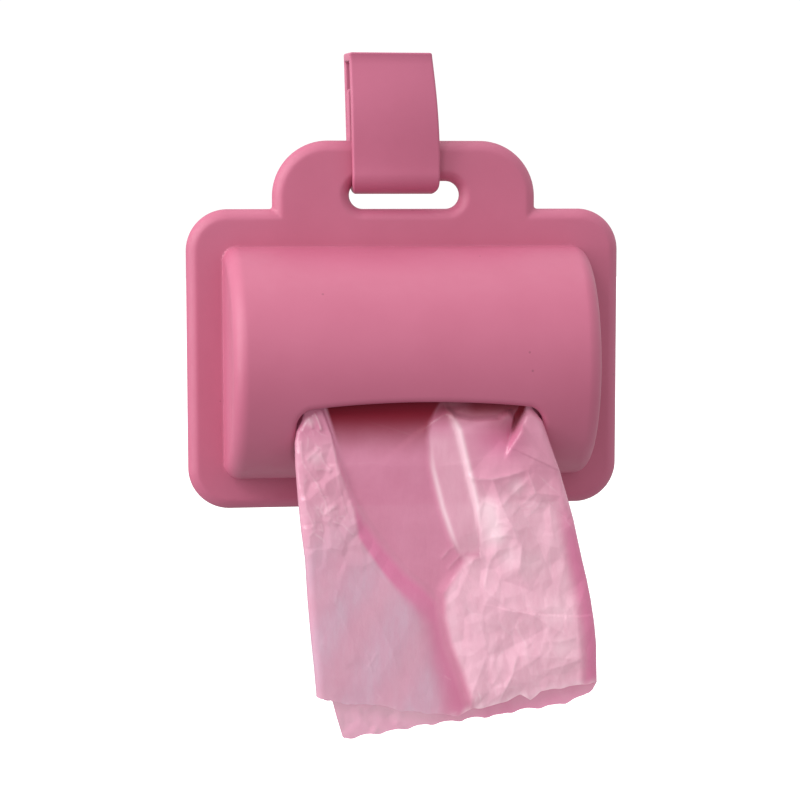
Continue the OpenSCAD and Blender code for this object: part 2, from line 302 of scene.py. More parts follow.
shell_silicone = silicone("shell_silicone", (0.498, 0.118, 0.205, 1), (0.528, 0.132, 0.225, 1))
shell = moulded(
    "front_shell_silicone", shell_field, (-44.6, -26.8, -89.4), (44.6, 1.6, -14.2), (0.38, 0.3, 0.38),
    shell_silicone, "holder",
)
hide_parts("front_shell")

# Back panel. A flat silicone panel bonded to the shell all round, which ends in the rear half of the
# rounded edge. Its window takes the roll, and a shallow notch above the window lets a fingertip in.
window_w, window_top, window_bottom, window_r = 72, 26, 24, 3
notch_r, notch_depth = 8, 1.8


def window(x, z, margin):
    middle, half = (window_top - window_bottom) / 2, (window_top + window_bottom) / 2
    return corner(np.abs(x) - window_w / 2 + margin, np.abs(z - axis_z - middle) - half + margin, window_r)


def panel_field(x, y, z):
    notch = np.hypot(x, z - axis_z - window_top - notch_depth + notch_r) - notch_r
    solid = soft_max(plate(x, y, z), split_y - y, seam_round)
    return soft_max(solid, -soft_min(window(x, z, 0), notch, 0.5), 0.5)


panel_silicone = silicone("panel_silicone", (0.478, 0.110, 0.192, 1), (0.508, 0.124, 0.212, 1))
panel = moulded(
    "rear_panel_silicone", panel_field, (-44.6, -0.4, -89.4), (44.6, 2.8, -14.2), (0.5, 0.25, 0.5),
    panel_silicone, "holder",
)
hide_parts("rear_panel")

# Refill flap. A silicone panel that fills the window. Two pegs on its inside press into blind holes in
# the shell, and a thin web along its lower edge is its hinge.
flap_gap, flap_y0, flap_y1 = 0.2, 0.65, 2.0
peg_y, peg_half = -0.15, 0.85
web_w, web_low, web_high = 33, -84.1, -81.5
web_y, web_half, waist_depth, waist_half = 1.8, 0.28, 0.12, 0.5


def flap_field(x, y, z):
    middle, half = (flap_y0 + flap_y1) / 2, (flap_y1 - flap_y0) / 2
    leaf = corner(window(x, z, flap_gap), np.abs(y - middle) - half, 0.3)
    across = np.hypot(np.abs(x) - peg_x, z - axis_z - peg_z) - peg_r
    peg = corner(across, np.abs(y - peg_y) - peg_half, 0.4)
    return soft_min(leaf, peg, 0.3)


def web_field(x, y, z):
    across = np.abs(z - (web_low + web_high) / 2) - (web_high - web_low) / 2
    waist = waist_depth * np.exp(-(((z - axis_z + window_bottom) / waist_half) ** 2))
    flat = corner(across, np.abs(y - web_y) - web_half + waist, 0.15)
    return corner(flat, np.abs(x) - web_w, 0.2)


flap = moulded(
    "refill_flap_silicone", flap_field, (-37, -1.6, -84.2), (37, 2.8, -31.8), (0.5, 0.22, 0.5),
    shell_silicone, "flap",
)
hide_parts("refill_flap")
web = moulded(
    "flap_hinge_web", web_field, (-34, 1.2, -85), (34, 2.4, -81), (0.5, 0.1, 0.12),
    panel_silicone, None,
)
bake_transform(web)

# Strap. One band of silicone cut from sheet, with softly broken edges. It runs down behind the tab,
# through the slot, up the front and over the top fold, and its loose end hangs down the back.
strap_t, strap_edge_r, strap_tip_t = 1.8, 0.5, 0.99
left_x, left_lean, right_x, right_lean, right_curve = -10.45, 0.025, 6.67, 0.0425, 0.0019
bight_z, bight_mid_r, bight_left_in, bight_right_in = -21.9, 3.1, 0.35, 0.8
back_y, outer_r, inner_r = 6.7, 0.5, 0.3
fold_top, fold_under, fold_slant = 1.35, -0.35, 0.05
fold_foot, bow_z, bow_half, bow_depth = -0.5, -10, 11.9, 0.9
inner_top, inner_tip_r = -5.2, 0.8
end_bottom, end_tip_r = -17.0, 1.6


def strap_left(z):
    return left_x - left_lean * (z + 25)


def strap_right(z):
    """The strap's right edge leans in towards its top fold, more and more."""
    above = np.maximum(z + 19, 0)
    return right_x - right_lean * above - right_curve * above**2


def skin(rings, steps, turn=1, closed=False, capped=False):
    """Faces that join rings of so many points. Turn, 1 or -1, says which side of the rings is outside."""
    here = np.arange(rings * steps).reshape(rings, steps)
    rows = np.vstack([here, here[:1]]) if closed else here
    beyond = np.roll(rows, -1, axis=1)
    around = [rows[:-1], beyond[:-1], beyond[1:], rows[1:]]
    faces = np.stack(around if turn > 0 else around[:1] + around[:0:-1], 2).reshape(-1, 4).tolist()
    if capped:
        faces += [here[0, ::-turn].tolist(), here[-1, ::turn].tolist()]
    return faces


def ribbon(name, route, finish, body):
    """A flat band with rounded edges along route: rows of y, z, direction, left x, right x, thickness."""
    arc = np.linspace(0, math.pi / 2, 7)
    rows = []
    for y, z, heading, left, right, t in route:
        r = min(strap_edge_r, t / 2)
        across, out = [], []
        for sx, st, quarter in ((1, 1, arc), (-1, 1, arc[::-1]), (-1, -1, arc), (1, -1, arc[::-1])):
            edge = right if sx > 0 else left
            across += [edge - sx * r * (1 - math.cos(a)) for a in quarter]
            out += [st * (t / 2 - r * (1 - math.sin(a))) for a in quarter]
        out = np.array(out)
        normal_y, normal_z = -math.sin(heading), math.cos(heading)
        rows.append(np.stack([np.array(across), y + out * normal_y, z + out * normal_z], 1))
    faces = skin(len(rows), len(rows[0]), capped=True)
    return new_piece(name, np.concatenate(rows), faces, finish, body, sharp=50)


def straight(y, z0, z1, heading, steps):
    return [(y, z, heading, strap_left(z), strap_right(z), strap_t) for z in np.linspace(z0, z1, steps)]


def blunt(row, up, corner_r):
    """Rounds off the band's end over (1) or under (-1) row, which gets narrower and at last thinner."""
    y, z, heading, left, right, t = row
    thinning = 0.45
    rows = []
    for a in np.linspace(0.1, 1, 12) * math.pi / 2:
        out, inset = corner_r * math.sin(a), corner_r * (1 - math.cos(a))
        ending = max(0.0, (out - corner_r) / thinning + 1)
        thick = t + (strap_tip_t - t) * ending**2
        rows.append((y, z + up * out, heading, left + inset, right - inset, thick))
    return rows


strap_silicone = silicone("strap_silicone", (0.498, 0.118, 0.208, 1), (0.528, 0.132, 0.228, 1), 0.52)
inner = straight(bight_mid_r, inner_top - inner_tip_r, bight_z, -math.pi / 2, 30)
inner = blunt(inner[0], 1, inner_tip_r)[::-1] + inner
bight = []
for a in np.linspace(0, math.pi, 48)[1:-1]:
    y, z = bight_mid_r * math.cos(a), bight_z - bight_mid_r * math.sin(a)
    low = math.sin(a) ** 8
    left, right = strap_left(z) + bight_left_in * low, strap_right(z) - bight_right_in * low
    bight.append((y, z, -math.pi / 2 - a, left, right, strap_t))


def overhang(z):
    """How the front strand bows forward between its folds, and leans out just under the top one."""
    bow = bow_depth * (1 - ((z - bow_z) / bow_half) ** 2) ** 2
    return -bow - 0.35 * np.maximum(z - 0.2, 0) ** 2


def crisp_corner(y, side):
    """The band round a crisp corner of the top fold, between its two faces. Side is -1 in front."""
    made = []
    turns = np.linspace(-90, 0, 14) if side < 0 else np.linspace(0, 90, 14)
    front_y = -strap_t / 2 - bight_mid_r
    for a in np.radians(turns):
        out_y = y + side * (strap_t / 2 - outer_r) + outer_r * math.sin(a)
        out_z = fold_top + fold_slant * (out_y - front_y) - outer_r + outer_r * math.cos(a)
        in_y = y - side * (strap_t / 2 + inner_r) + inner_r * math.sin(a)
        in_z = fold_under + fold_slant * (in_y - front_y) - inner_r + inner_r * math.cos(a)
        if side < 0:
            out_y, in_y = out_y + overhang(out_z), in_y + overhang(in_z)
        mid_y, mid_z = (out_y + in_y) / 2, (out_z + in_z) / 2
        heading = math.atan2(in_y - out_y, out_z - in_z) - math.pi * 2
        thick = math.hypot(out_y - in_y, out_z - in_z)
        made.append((mid_y, mid_z, heading, strap_left(out_z), strap_right(out_z), thick))
    return made


front = []
for z in np.linspace(bight_z, fold_foot, 46):
    up = (z - bow_z) / bow_half
    lean = 4 * bow_depth * up / bow_half * (1 - up**2)
    y, heading = overhang(z) - bight_mid_r, -math.pi * 1.5 - lean
    front.append((y, z, heading, strap_left(z), strap_right(z), strap_t))
back_corner = crisp_corner(back_y, 1)
strands = inner + bight + front + crisp_corner(-bight_mid_r, -1) + back_corner[:1]
band = ribbon("strap_band_silicone", strands, strap_silicone, "strap")
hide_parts("strap_band")

loose = straight(back_y, fold_foot, end_bottom + end_tip_r, -math.pi * 2.5, 60)
loose += blunt(loose[-1], -1, end_tip_r)
loose_end = ribbon("strap_end_silicone", back_corner + loose, strap_silicone, None)
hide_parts("strap_end")
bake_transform(loose_end)

# Press stud. Four turned and pressed steel parts: a domed cap with a rolled rim and its socket on the
# loose end, a stud and its post on the inner strand. Each is a profile turned about the stud's axis.
snap_x, snap_z = -2.75, -10.3


def turned_part(name, profile, body, node):
    """A profile of radius and y, in millimetres, turned about the press stud's axis."""
    steps = 72
    angles = np.linspace(0, 2 * math.pi, steps, endpoint=False)
    points = [(snap_x + r * math.cos(a), y, snap_z + r * math.sin(a)) for r, y in profile for a in angles]
    faces = skin(len(profile), steps, turn=-1, capped=True)
    piece = new_piece(name, points, faces, steel, body, sharp=40)
    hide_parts(node)


def rounded_rim(r, y_in, y_out, steps=8):
    """Half round outer rim from y_in to y_out at radius r."""
    middle, half = (y_in + y_out) / 2, (y_out - y_in) / 2
    turns = np.linspace(-math.pi / 2, math.pi / 2, steps)
    return [(r - abs(half) * (1 - math.cos(a)), middle + half * math.sin(a)) for a in turns]


plated = Finish("snap_steel", Metallic=1.0, IOR=2.2)
wear = plated.noise(900, 4, 0.6)
fine = plated.noise(5200, 2)
worn = plated.ramp(wear, (0.35, 0.0), (0.7, 1.0))
plated.vary(Base_Color=plated.mix(worn, (0.58, 0.57, 0.56, 1), (0.74, 0.73, 0.72, 1)))
plated.vary(Roughness=plated.ramp(wear, (0.3, 0.2), (0.75, 0.38)))
plated.bump(fine * 0.4 + wear * 0.3, 0.00003)
steel = plated.material

dome = [(4.0 * math.sin(a), 7.9 + 1.0 * math.cos(a)) for a in np.linspace(0.03, math.pi / 2 - 0.12, 18)]
turned_part(
    "snap_cap_steel",
    [(0.95, 5.3), (0.95, 7.55), (4.3, 7.58)] + rounded_rim(4.8, 7.6, 8.15) + [(4.2, 8.08)] + dome[::-1],
    "loose_end",
    "snap_cap",
)
turned_part(
    "snap_socket_steel",
    [(1.08, 5.79), (3.7, 5.79)]
    + rounded_rim(4.0, 5.79, 5.3)
    + [(3.3, 5.1), (3.0, 4.62), (2.7, 4.5), (2.2, 4.5), (1.98, 4.6), (1.95, 5.15), (1.08, 5.2)]
    + [(1.08, 5.79)],
    "loose_end",
    "snap_socket",
)
turned_part(
    "snap_stud_steel",
    [(1.07, 4.02), (3.55, 4.02)]
    + rounded_rim(3.8, 4.02, 4.34)
    + [(1.9, 4.36), (1.45, 4.45), (1.3, 4.6), (1.5, 4.8), (1.42, 4.97), (1.1, 5.05), (0.05, 5.05)],
    "strap",
    "snap_stud",
)
turned_part(
    "snap_post_steel",
    [(0.05, 4.55), (0.85, 4.55), (0.98, 4.4), (0.98, 2.2), (3.7, 2.19)]
    + rounded_rim(4.0, 2.19, 1.82)
    + [(3.3, 1.7), (3.0, 1.52), (1.6, 1.5), (1.2, 1.7), (0.6, 1.85), (0.05, 1.85)],
    "strap",
    "snap_post",
)

# Roll of bags. Film wound tightly on a spiral wound card tube. Its ends show the turns of film, and the
# outermost turn leaves it at the front, where the leading bag goes down behind the lip.
roll_at, roll_r, roll_w, turn_step = (-10.7, -65.358), 9.8, 59.4, 0.22
core_w, core_r, core_in, core_edge = 60, 6.5, 5.6, 0.1


def wound(name, rings, finish, body, node):
    """Closed rings of radius and x about the roll's axis, turned about X, with the radius wavering."""
    steps = 144
    angles = np.linspace(0, 2 * math.pi, steps, endpoint=False)
    points = []
    for r, x in rings:
        wave = 0.03 * np.sin(3 * angles + 0.7) + 0.02 * np.sin(7 * angles)
        wavy = r + (wave if r > core_r + 0.3 else 0)
        y, z = roll_at[0] + wavy * np.cos(angles), roll_at[1] + wavy * np.sin(angles)
        points += list(zip(np.full(steps, x), y, z))
    faces = skin(len(rings), steps, turn=-1, closed=True)
    piece = new_piece(name, points, faces, finish, body, sharp=40)
    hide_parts(node)


card = Finish("core_card_kraft", Specular_IOR_Level=0.2)
fibre = card.noise(2600, 4, 0.65, card.stretched((0.35, 1.0, 1.0)))
blotch = card.noise(180, 3)
kraft = card.mix(card.ramp(fibre, (0.35, 0.0), (0.7, 1.0)), (0.32, 0.21, 0.12, 1), (0.50, 0.36, 0.23, 1))
card.vary(Base_Color=card.mix(card.ramp(blotch, (0.3, 0.0), (0.8, 0.5)), kraft, (0.42, 0.31, 0.20, 1)))
card.vary(Roughness=card.ramp(fibre, (0.3, 0.8), (0.7, 0.92)))
card.bump(fibre, 0.00008)
core_half = core_w / 2
core_shoulder = core_half - core_edge
core_rings = [(core_in, -core_shoulder), (core_in, core_shoulder), (core_in + core_edge, core_half)]
core_rings += [(core_r - core_edge, core_half), (core_r, core_shoulder), (core_r, -core_shoulder)]
core_rings += [(core_r - core_edge, -core_half), (core_in + core_edge, -core_half)]
wound("roll_core_card", core_rings, card.material, "roll", "roll_core")

roll_end = roll_w / 2
turns = np.arange(core_r + 0.15, roll_r - 0.05, turn_step)
film_rings = [(core_r + 0.05, -roll_end), (core_r + 0.05, roll_end)]
for i, r in enumerate(turns):
    ragged = 0.12 * math.sin(i * 2.4) + 0.08 * math.sin(i * 5.1)
    film_rings += [(r, roll_end - 0.18 + ragged), (r + turn_step / 2, roll_end - 0.02 + ragged / 2)]
film_rings += [(roll_r, roll_end - 0.25), (roll_r, -roll_end + 0.25)]
for i, r in enumerate(turns[::-1]):
    ragged = 0.12 * math.sin(i * 3.1) + 0.08 * math.sin(i * 4.3)
    film_rings += [(r + turn_step / 2, -roll_end + 0.02 + ragged / 2), (r, -roll_end + 0.18 + ragged)]

roll_film = Finish("roll_film_wound", IOR=1.5)
streak = roll_film.noise(900, 3, 0.5, roll_film.stretched((0.15, 1.0, 1.0)))
streaked = roll_film.ramp(streak, (0.3, 0.0), (0.7, 1.0))
roll_film.vary(Base_Color=roll_film.mix(streaked, (0.44, 0.08, 0.17, 1), (0.56, 0.15, 0.26, 1)))
roll_film.vary(Roughness=roll_film.ramp(streak, (0.3, 0.28), (0.7, 0.42)))
roll_film.bump(streak, 0.00006)
wound("roll_film_turns", film_rings, roll_film.material, "roll", "roll_film")

# Leading bag. The torn-off end of the film: two plies joined along both side folds, open at the hem.
# It leaves the front of the roll, narrows to pass under the lip, and hangs in front of the barrel. Its
# outline and folds are placed where the camera sees them on the plane that the bag hangs in.
sheet_y = -23.0
rows, front_columns, back_columns = 340, 300, 130
top_z, leaves_roll, at_lip = axis_z - 1.2, 60.1, 64.4
crest_half, crest_round = 0.16, 0.10
nibs_across, side_fold, ply_gap, back_drop = 10.5, 0.03, 0.12, 0.4
rng = np.random.default_rng(11)


def traced(*pixels):
    """Where the camera sees these pixels of its picture on the bag's plane: rows of x and z."""
    half = picture_side / 2
    rays = np.array([((u - half) / focal_pixels, (v - half) / focal_pixels, 1) for u, v in pixels]) @ eye
    reach = (sheet_y - camera_at[1]) / rays[:, 1]
    return (camera_at + rays * reach[:, None])[:, [0, 2]]


def smooth(value):
    value = np.clip(value, 0, 1)
    return value * value * (3 - 2 * value)


def below(z, start, over):
    """0 down to start, in millimetres under the origin, and 1 from over further down."""
    return smooth((-z - start) / over)


def bell(away):
    return np.exp(-(away**2))


def most(*shares):
    return np.maximum.reduce(shares)


def beside(x, z, line):
    """Signed distance from a line, more on its right as it is followed downwards, and the share along."""
    best = np.full(x.shape, 1e9)
    side, along = np.zeros(x.shape), np.zeros(x.shape)
    lengths = np.linalg.norm(np.diff(line, axis=0), axis=1)
    before = np.concatenate([[0], np.cumsum(lengths)])
    for (ax, az), (bx, bz), start, length in zip(line[:-1], line[1:], before, lengths):
        dx, dz = bx - ax, bz - az
        t = np.clip(((x - ax) * dx + (z - az) * dz) / length**2, 0, 1)
        away = np.hypot(x - ax - t * dx, z - az - t * dz)
        near = away < best
        best = np.where(near, away, best)
        side = np.where(near, np.sign(dx * (z - az) - dz * (x - ax)), side)
        along = np.where(near, (start + t * length) / before[-1], along)
    return best * side, along


def tapered(along, start, end):
    return smooth(along / start) * smooth((1 - along) / end)


def ridge(x, z, line, height, left, right, start=0.15, end=0.15):
    """A crease: left and right are how far it falls away on its sides. Also its sharp top, whitened and
    painted with a highlight.
    """
    away, along = beside(x, z, line)
    width = np.where(away < 0, left, right)
    fade = tapered(along, start, end)
    tightness = np.clip(1.6 - left - right, 0, 0.6) * min(1.0, abs(height) / 0.45)
    crest = bell(away / crest_half) * tightness
    return height * np.exp(-(np.hypot(away, crest_round) - crest_round) / width) * fade, crest * fade


def rise(x, z, line, height, width, reach, start, end):
    """A step up to the right of the line over width, which dies away over reach."""
    away, along = beside(x, z, line)
    up = smooth(away / width + 0.5) * np.exp(-np.maximum(away - width, 0) / reach)
    return height * up * tapered(along, start, end)


left_edge = traced(
    (302, 421.7), (297, 432), (295, 443.4), (295.4, 465), (298, 500), (301, 530), (305, 560), (307.5, 600),
    (311, 640), (313.6, 665), (316.4, 695),
)
right_edge = traced(
    (534, 409), (544, 421.7), (552.6, 447.7), (561, 471.6), (568.8, 499.8), (574.3, 519.3), (583, 559.4),
    (588, 580), (592, 600), (595.5, 625), (597.5, 645), (598, 682),
)
inside_left = [(-27.0, top_z), (-22.9, -61.4), (-22.4, -65.4), (-21.9, -67.2)]
inside_right = [(27.0, top_z), (23.1, -61.4), (22.6, -65.0)]
left_line = np.concatenate([inside_left, left_edge])
right_line = np.concatenate([inside_right, right_edge])
front_hem = traced(
    (316.4, 696), (333, 700), (355, 703.5), (375, 702.5), (400, 709), (425, 711.5), (445, 713.5), (460, 715),
    (473, 708), (490, 706), (503, 701.5), (520, 694), (530, 699), (540, 691), (555, 688), (575, 685),
    (592, 682), (598, 683),
)
back_hem = traced(
    (316.4, 696), (333, 700), (337, 716), (344, 739), (366, 735.5), (391, 731), (419, 725.6), (448, 721.7),
    (474, 718.3), (503, 714.8), (519, 710.2), (536, 708), (558, 704.5), (568, 702.2), (586, 695.3),
    (593, 690.5), (598, 683),
)


def edges_at(z):
    left = np.interp(-z, -left_line[:, 1], left_line[:, 0])
    return left, np.interp(-z, -right_line[:, 1], right_line[:, 0])


def hem_at(share, hem, scallop, seed):
    """The hem's height at a share of the way across, with the nibs that the torn perforation leaves."""
    left, right = edges_at(hem[:, 1])
    z = np.interp(share, (hem[:, 0] - left) / (right - left), hem[:, 1])
    nibs = np.abs(np.sin(share * math.pi * nibs_across + seed)) ** 4
    torn = sum(np.sin(share * f + seed * f) / f**0.5 for f in (61, 97, 173, 260)) * 0.25
    return z - scallop * (nibs + torn)


# Band where the film turns away, from the mouth's left corner down to the middle of the hem.
band_left = traced(
    (322, 412), (331, 435), (335, 462), (352, 511), (356, 538), (371, 560), (390, 587), (405, 609),
    (416, 629), (421, 663), (430, 692), (434, 720),
)
band_right = traced(
    (324, 405), (333, 435), (340, 455), (352, 489), (368, 520), (388, 547), (408, 571), (428, 587),
    (439, 600), (442, 618), (448, 647), (459, 674), (471, 712), (473, 725),
)
# Pleats beside it, the fold that rolls in under the lip, and the tongue at the mouth's right corner.
recess_edge = traced((450, 395), (441, 408), (431, 424), (427, 440), (431, 467), (441, 508), (452, 541))
first_pleat = traced((427, 432), (431, 467), (441, 508), (452, 541), (460, 561))
second_pleat = traced(
    (447, 410), (457, 431), (462.5, 454), (467, 474), (471, 490), (475.5, 508), (478, 530), (479, 546),
)
pleat_foot = traced((460, 561), (451, 575), (441, 592), (441, 618), (448, 647), (459, 674), (471, 712))
rolled_in = traced((514, 408), (499, 418.4), (473, 419.5), (456, 416), (446, 404))
# Streaks of painted highlight run down this facet and along both pleats.
bright_facet = traced((478, 492), (487, 510), (492, 530), (500, 552))
tongue = traced((528, 404), (525, 414), (519, 428), (508, 446), (502, 462))
# Glints: spots of painted highlight on the film.
glints = [
    # pixel, radius and strength
    ((515, 486), 1.6, 0.4), ((508, 556), 2.2, 0.35), ((530, 562), 2.4, 0.3), ((556, 611), 2.6, 0.35),
    ((560, 646), 2.4, 0.4), ((316, 458), 1.3, 0.35), ((326, 508), 1.5, 0.12), ((310, 422), 0.9, 0.4),
]
# The fold beside the notch gets painted shade. The roll of film into the notch is both a dent and a line of
# painted shade.
fold_spot = traced((500, 438))[0]
notch_roll = traced((528, 400), (524, 412), (515, 428), (505, 446))
creases = [
    # pixels it runs through, height, and how far it falls away on its left and right
    (((463, 475), (478, 478.5), (491, 478), (506, 475), (525.5, 469)), 0.55, 1.2, 0.7),
    (((528, 476), (518, 487), (506, 498), (499, 506)), 0.5, 0.9, 0.9),
    (((468, 493), (482, 501), (495, 506), (505, 517), (517, 533), (521, 541), (519, 562),
     (515, 580)), 0.65, 1.6, 1.1),
    (((532, 491), (548, 503), (566, 519)), -0.4, 0.7, 1.2),
    (((525, 469), (534, 492), (520, 505), (505, 517)), 0.4, 0.9, 0.8),
    (((534, 492), (541, 497), (535, 508), (522, 520)), 0.35, 0.8, 0.8),
    (((479, 543), (492, 536), (508, 534), (518, 537)), 0.45, 0.8, 1.2),
    (((461, 562), (470, 575), (484, 590), (497, 598), (507, 606)), 0.55, 1.0, 1.6),
    (((439, 597), (452, 580), (466, 566), (480, 553)), 0.5, 1.0, 1.4),
    (((545, 560), (556, 588), (568, 606), (576, 620)), -0.5, 1.5, 1.2),
    (((507, 606), (530, 613), (548, 624), (566, 634), (577, 640)), 0.55, 1.6, 1.2),
    (((540, 640), (556, 640), (575, 636)), 0.35, 1.0, 1.0),
    (((548, 668), (563, 664), (580, 657)), 0.45, 1.2, 0.9),
    (((575, 618), (579, 640), (581, 660), (583, 684)), 0.45, 1.6, 1.0),
    (((497, 707), (503, 690), (511, 673), (516, 655)), 0.4, 0.7, 0.8),
    (((530, 700), (521, 686), (511, 673)), 0.4, 0.8, 0.8),
    (((470, 707), (488, 690), (498, 672), (503, 650)), 0.3, 1.0, 1.0),
    (((515, 625), (522, 638), (527, 648)), 0.3, 0.6, 0.8),
    (((482, 590), (486, 575), (490, 560), (499, 545)), 0.35, 0.7, 0.7),
    (((455, 605), (470, 625), (484, 640), (498, 650)), 0.3, 1.4, 1.4),
    (((301, 460), (308, 471), (317, 484), (325, 502), (327, 517)), 0.5, 0.6, 0.6),
    (((305, 461), (312, 455), (319, 448)), 0.4, 0.6, 0.6),
    (((320, 451), (323, 461), (328, 468), (333, 471)), 0.45, 0.5, 0.7),
    (((314, 469), (322, 469), (332, 471)), 0.3, 0.5, 0.6),
    (((301, 440), (301, 452), (303, 466)), 0.35, 0.5, 0.6),
    (((322, 515), (329, 510), (338, 503)), 0.4, 0.6, 0.6),
    (((331, 520), (342, 524), (355, 536)), 0.45, 0.6, 0.6),
    (((302, 482), (306, 508), (315, 530)), 0.4, 0.8, 0.7),
    (((315, 529), (309, 535), (308, 548)), 0.3, 0.6, 0.6),
    (((335, 441), (336, 470), (342, 500), (352, 530)), 0.3, 0.9, 0.7),
    (((308, 416), (311, 424), (313, 430)), 0.6, 0.5, 0.5),
    (((314, 412), (318, 420), (322, 432)), 0.7, 0.6, 0.5),
    (((364, 421), (392, 429), (420, 438)), 0.14, 0.6, 0.6),
    (((344, 464), (364, 463.5), (384, 463)), 0.06, 0.25, 0.25),
    (((366, 652), (369, 662), (372, 673)), 0.14, 0.3, 0.3),
    (((378, 650), (372, 660), (365, 671)), 0.14, 0.3, 0.3),
    (((337, 588), (336, 596), (334, 604)), 0.14, 0.3, 0.3),
    (((322, 592), (340, 612), (352, 640), (356, 668)), 0.35, 2.6, 2.6),
    (((330, 545), (352, 575), (372, 610), (392, 650), (402, 690)), 0.4, 3.0, 2.2),
    (((318, 640), (336, 652), (350, 668)), 0.22, 1.6, 2.0),
    (((440, 560), (449, 549), (456, 545)), 0.25, 0.4, 0.5),
    (((446, 571), (455, 560), (462, 553)), 0.25, 0.4, 0.5),
]
crumple_zones = [
    # middle's pixel, the zone's half width and height, how many, length, height and width of a crease
    ((518, 580), 11.0, 19.0, 80, (2.0, 8.0), (0.06, 0.26), (0.35, 1.1)),
    ((530, 500), 6.0, 6.0, 16, (2.0, 6.0), (0.06, 0.22), (0.35, 0.9)),
    ((318, 470), 3.0, 13.0, 26, (1.5, 4.0), (0.08, 0.28), (0.25, 0.6)),
    ((335, 522), 4.0, 3.5, 16, (1.0, 3.0), (0.08, 0.25), (0.25, 0.5)),
    ((370, 650), 10.0, 11.0, 26, (3.0, 8.0), (0.02, 0.09), (0.5, 1.5)),
    ((520, 695), 14.0, 4.0, 36, (1.0, 3.5), (0.08, 0.3), (0.25, 0.6)),
    ((380, 705), 13.0, 2.0, 20, (0.8, 2.5), (0.04, 0.15), (0.25, 0.6)),
]


def scattered(x, z, zone):
    """Small creases strewn over a zone, most of them near its middle, running up and down."""
    middle, half_w, half_h, count, lengths, heights, widths = zone
    mid_x, mid_z = traced(middle)[0]
    relief, crest = np.zeros(x.shape), np.zeros(x.shape)
    for _ in range(count):
        cx, cz = mid_x + half_w * np.clip(rng.normal(0, 0.5), -1, 1), mid_z + half_h * rng.uniform(-1, 1)
        angle, length = rng.normal(math.pi / 2, 0.75), rng.uniform(*lengths)
        bend = rng.normal(0, 0.15) * length
        dx, dz = math.cos(angle) * length / 2, math.sin(angle) * length / 2
        bent = (cx + bend * math.sin(angle), cz - bend * math.cos(angle))
        line = np.array([(cx + dx, cz + dz), bent, (cx - dx, cz - dz)])
        height = rng.uniform(*heights) * rng.choice([-0.6, 1, 1])
        left, right = rng.uniform(*widths), rng.uniform(*widths)
        reach = length / 2 + 4 * widths[1]
        close = (np.abs(x - cx) < reach) & (np.abs(z - cz) < reach)
        up, white = ridge(x[close], z[close], line, height, left, right, 0.35, 0.35)
        relief[close] += up
        crest[close] = np.maximum(crest[close], white)
    return relief, crest


def crumpled(x, z, cell, slope):
    """Flat facets with sharp folds between them, as in crumpled film. They are longer down the bag."""
    total = np.zeros(x.shape)
    cells, start_x, start_z, longer = 120, -50, -150, 1.3
    u, v = (x - start_x) / cell, (z - start_z) / (longer * cell)
    for sign in (1, -1):
        middles = rng.uniform(0, 1, (cells, cells, 2))
        nearest = np.full(x.shape, 9.0)
        for i in (-1, 0, 1):
            for j in (-1, 0, 1):
                cu, cv = np.floor(u).astype(int) + i, np.floor(v).astype(int) + j
                middle = middles[cu % cells, cv % cells]
                away = (u - cu - middle[..., 0]) ** 2 + (v - cv - middle[..., 1]) ** 2
                nearest = np.minimum(nearest, away)
        total += sign * nearest
    return total * slope * cell / 2


def folded(x, z, corners):
    """Flat facets between traced corners of given height, with sharp folds where they meet."""
    spots = traced(*[corner[:2] for corner in corners])
    heights = np.array([corner[2] for corner in corners])
    joined = delaunay_2d_cdt([Vector(spot) for spot in spots], [], [], 0, 1e-6)
    places, triangles, sources = joined[0], joined[2], joined[3]
    total = np.zeros(x.shape)
    for triangle in triangles:
        (ax, az), (bx, bz), (cx, cz) = (places[i] for i in triangle)
        ha, hb, hc = (heights[sources[i][0]] for i in triangle)
        area = (bx - ax) * (cz - az) - (cx - ax) * (bz - az)
        if abs(area) < 1e-3:
            continue
        b = ((x - ax) * (cz - az) - (cx - ax) * (z - az)) / area
        c = ((bx - ax) * (z - az) - (x - ax) * (bz - az)) / area
        inside = (b >= 0) & (c >= 0) & (b + c <= 1)
        total = np.where(inside, ha + b * (hb - ha) + c * (hc - ha), total)
    return total


# Corners of the right half's facets: pixel and height, the outer ones at zero.
facet_corners = [
    (447, 404, 0), (500, 402, 0), (545, 415, 0), (562, 470, 0), (578, 520, 0), (590, 575, 0), (597, 620, 0),
    (601, 690, 0), (560, 700, 0), (520, 708, 0), (471, 716, 0), (459, 674, 0), (448, 647, 0), (441, 618, 0),
    (441, 592, 0), (460, 561, 0), (478, 545, 0), (478, 530, 0), (472, 500, 0), (467, 474, 0), (457, 431, 0),
    (500, 440, 0.3), (540, 450, 0.3), (491, 478, 0.9), (526, 469, 1.3), (485, 496, 0.1), (501, 507, 1.2),
    (510, 525, 1.7), (497, 539, 1.3), (519, 545, 1.5), (519, 566, 1.3), (515, 498, 0.2), (535, 535, 0.3),
    (534, 492, 1.0), (548, 503, 0.4), (566, 519, 0.2), (560, 495, 0.8), (552, 535, 0.9), (565, 560, 0.5),
    (545, 562, 0.3), (488, 562, 0.3), (503, 580, 0.5), (484, 590, 1.0), (507, 606, 1.5), (530, 590, 0.5),
    (530, 613, 1.4), (548, 624, 1.3), (577, 640, 1.3), (556, 600, 0.6), (576, 612, 0.9), (470, 600, 0.5),
    (480, 622, 0.4), (500, 633, 0.4), (527, 638, 0.5), (466, 645, 0.5), (485, 655, 0.9), (503, 650, 0.3),
    (516, 655, 0.9), (538, 655, 1.2), (558, 657, 1.3), (580, 658, 1.0), (545, 675, 0.4), (566, 673, 0.3),
    (511, 673, 1.1), (503, 690, 0.8), (488, 690, 0.3), (472, 690, 0.6), (530, 692, 0.3), (583, 684, 0.2),
]


